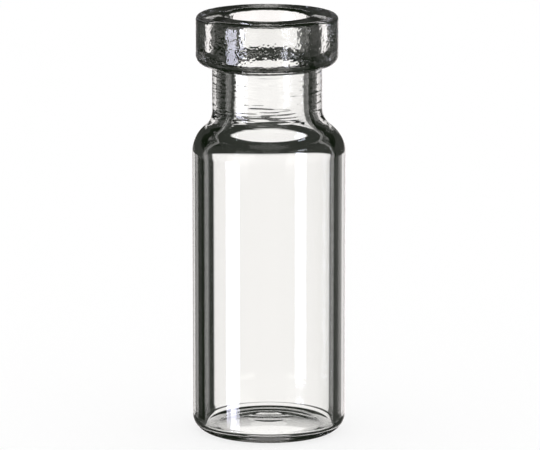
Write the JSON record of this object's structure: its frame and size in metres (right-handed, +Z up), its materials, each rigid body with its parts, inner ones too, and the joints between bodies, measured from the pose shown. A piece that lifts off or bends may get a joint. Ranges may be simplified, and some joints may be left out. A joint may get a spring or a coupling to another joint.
{
  "type": "crimp-neck glass vial",
  "caption": "Small clear glass sample vial with a flat base, a straight body, a sloping shoulder, a short neck and a thick lip for a crimp cap.",
  "frame": {"origin": "centre of the base ring, on the plane the vial stands on", "axes": "+Z up along the vial's axis, from the base to the open mouth; X and Y square to it"},
  "size_m": [0.0116, 0.0116, 0.032],
  "materials": {
    "glass": "clear, smooth on the body, slightly wavy on the neck and lip"
  },
  "bodies": {
    "root": {"vial": "glass"}
  },
  "joints": []
}
